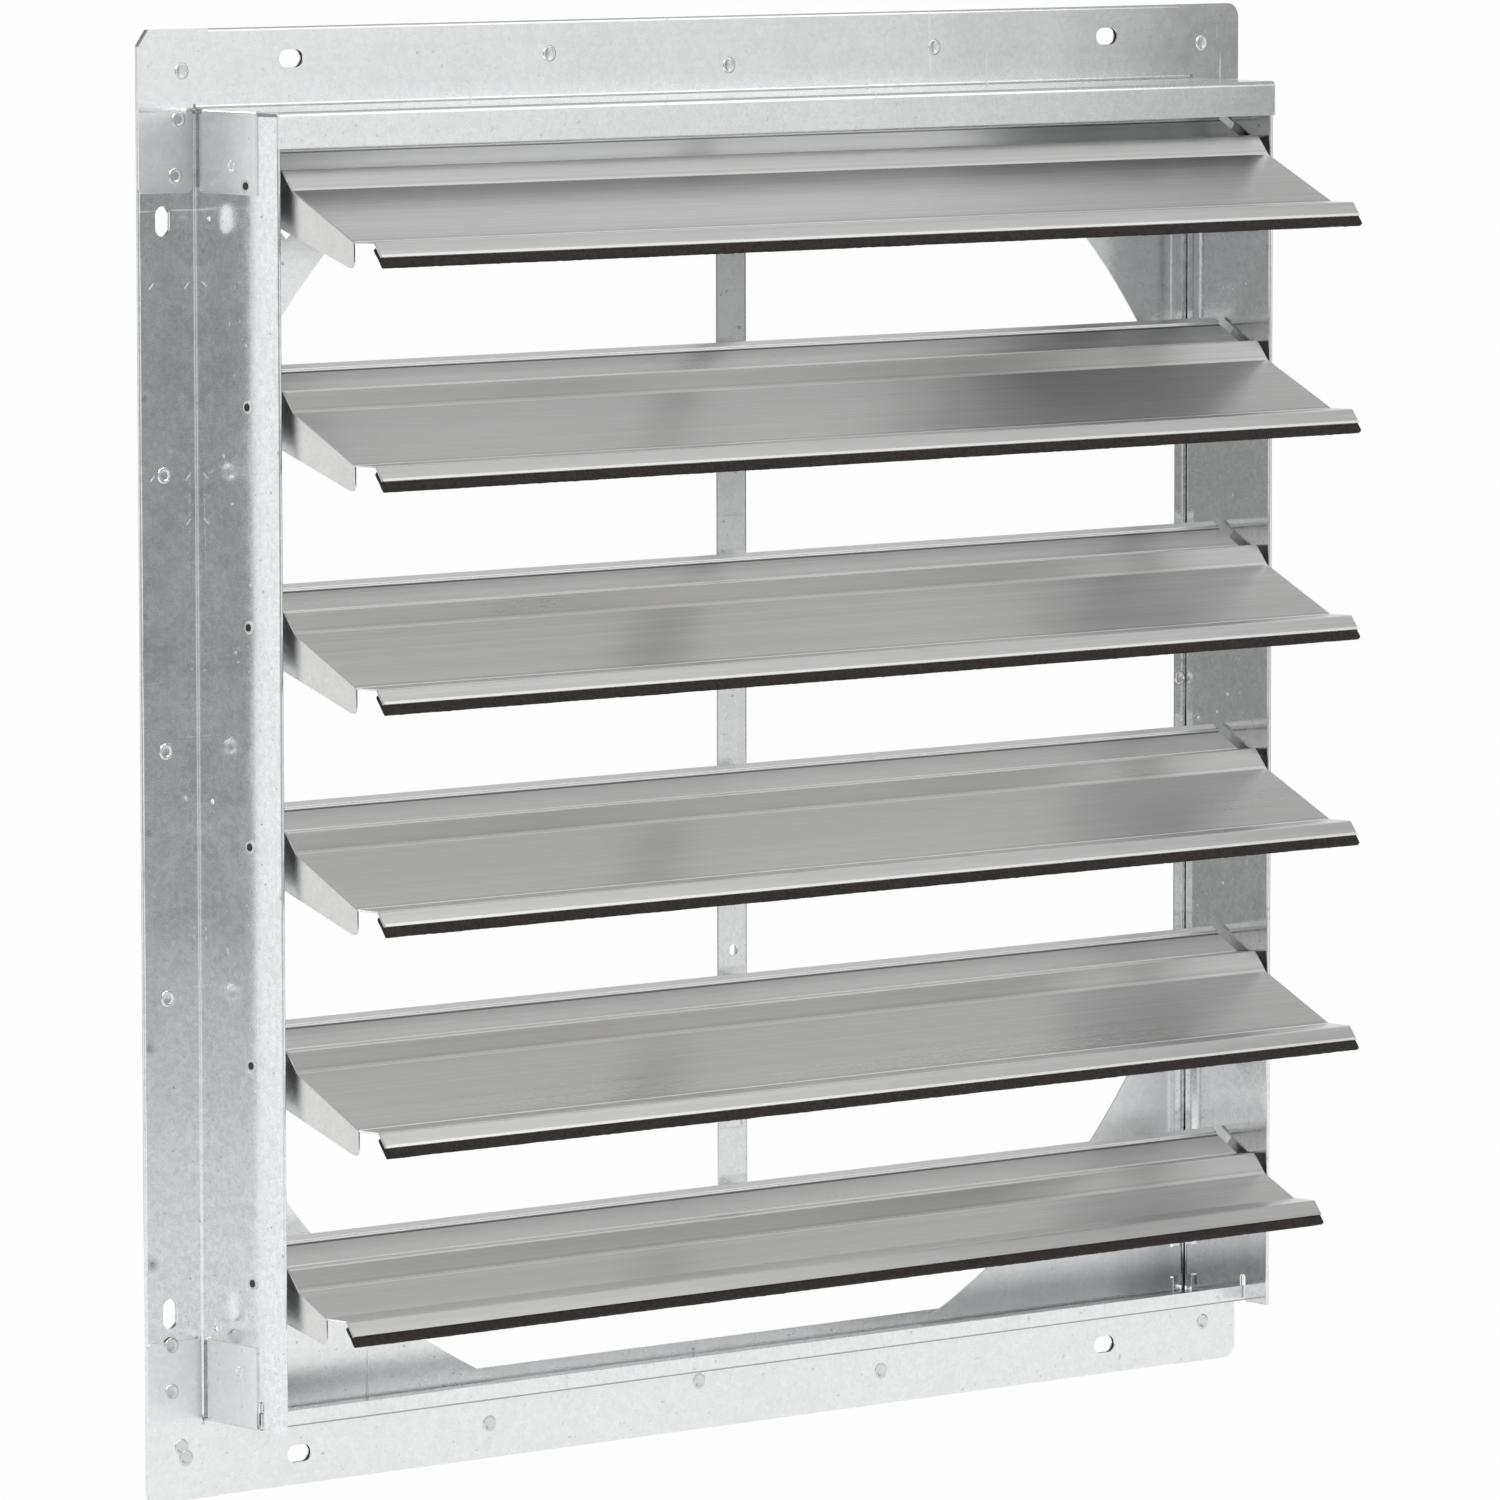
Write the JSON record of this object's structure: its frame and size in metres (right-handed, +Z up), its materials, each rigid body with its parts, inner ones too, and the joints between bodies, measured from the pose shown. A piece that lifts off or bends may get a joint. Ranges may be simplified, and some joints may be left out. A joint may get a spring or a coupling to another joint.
{
  "type": "exhaust fan shutter",
  "caption": "Square wall shutter for an exhaust fan: a folded sheet frame with balanced, felt-edged blades that turn together on a tie bar.",
  "frame": {"origin": "centre of the four upper and lower fixing slots, on the back of the flange where it meets the wall", "axes": "+X to the right seen from the front, -Y out of the wall towards the front, +Z up"},
  "size_m": [0.69, 0.1375, 0.69],
  "materials": {
    "galvanised_frame": "galvanised, lightly spangled, satin to glossy",
    "galvanised_bar": "galvanised, satin",
    "blade": "mill finish with lengthwise rolling lines",
    "felt": "pressed felt",
    "bush": "moulded",
    "zinc_pin": "zinc plated"
  },
  "bodies": {
    "frame": {"top_rail": "galvanised_frame", "bottom_rail": "galvanised_frame", "left_rail": "galvanised_frame", "right_rail": "galvanised_frame", "gusset_top_left": "galvanised_frame", "gusset_top_right": "galvanised_frame", "gusset_bottom_left": "galvanised_frame", "gusset_bottom_right": "galvanised_frame", "bushes_left": "bush", "bushes_right": "bush"},
    "blade_1": {"blade_1": "blade", "seal_1": "felt", "pivot_pins_1": "zinc_pin", "link_bracket_1": "blade", "link_rivet_1": "zinc_pin"},
    "blade_2": {"blade_2": "blade", "seal_2": "felt", "pivot_pins_2": "zinc_pin", "link_bracket_2": "blade", "link_rivet_2": "zinc_pin"},
    "blade_3": {"blade_3": "blade", "seal_3": "felt", "pivot_pins_3": "zinc_pin", "link_bracket_3": "blade", "link_rivet_3": "zinc_pin"},
    "blade_4": {"blade_4": "blade", "seal_4": "felt", "pivot_pins_4": "zinc_pin", "link_bracket_4": "blade", "link_rivet_4": "zinc_pin"},
    "blade_5": {"blade_5": "blade", "seal_5": "felt", "pivot_pins_5": "zinc_pin", "link_bracket_5": "blade", "link_rivet_5": "zinc_pin"},
    "blade_6": {"blade_6": "blade", "seal_6": "felt", "pivot_pins_6": "zinc_pin", "link_bracket_6": "blade", "link_rivet_6": "zinc_pin"},
    "tie_bar": {"tie_bar": "galvanised_bar"}
  },
  "joints": [
    {"name": "blade_1_turn", "type": "hinge", "parent": "frame", "child": "blade_1", "pos_m": [0, -0.0419, 0.2732], "axis": [1, 0, 0], "range_deg": [-8, 64]},
    {"name": "blade_2_turn", "type": "hinge", "parent": "frame", "child": "blade_2", "pos_m": [0, -0.0419, 0.1708], "axis": [1, 0, 0], "range_deg": [-8, 64]},
    {"name": "blade_3_turn", "type": "hinge", "parent": "frame", "child": "blade_3", "pos_m": [0, -0.0419, 0.0684], "axis": [1, 0, 0], "range_deg": [-8, 64]},
    {"name": "blade_4_turn", "type": "hinge", "parent": "frame", "child": "blade_4", "pos_m": [0, -0.0419, -0.034], "axis": [1, 0, 0], "range_deg": [-8, 64]},
    {"name": "blade_5_turn", "type": "hinge", "parent": "frame", "child": "blade_5", "pos_m": [0, -0.0419, -0.1364], "axis": [1, 0, 0], "range_deg": [-8, 64]},
    {"name": "blade_6_turn", "type": "hinge", "parent": "frame", "child": "blade_6", "pos_m": [0, -0.0419, -0.2388], "axis": [1, 0, 0], "range_deg": [-8, 64]},
    {"name": "tie_bar_link", "type": "hinge", "parent": "blade_1", "child": "tie_bar", "pos_m": [0.0089, -0.0127, 0.2752], "axis": [1, 0, 0], "range_deg": [-64, 8]}
  ],
  "couplings": [
    {"joint": "blade_2_turn", "follows": "blade_1_turn", "ratio": 1},
    {"joint": "blade_3_turn", "follows": "blade_1_turn", "ratio": 1},
    {"joint": "blade_4_turn", "follows": "blade_1_turn", "ratio": 1},
    {"joint": "blade_5_turn", "follows": "blade_1_turn", "ratio": 1},
    {"joint": "blade_6_turn", "follows": "blade_1_turn", "ratio": 1},
    {"joint": "tie_bar_link", "follows": "blade_1_turn", "ratio": -1}
  ]
}
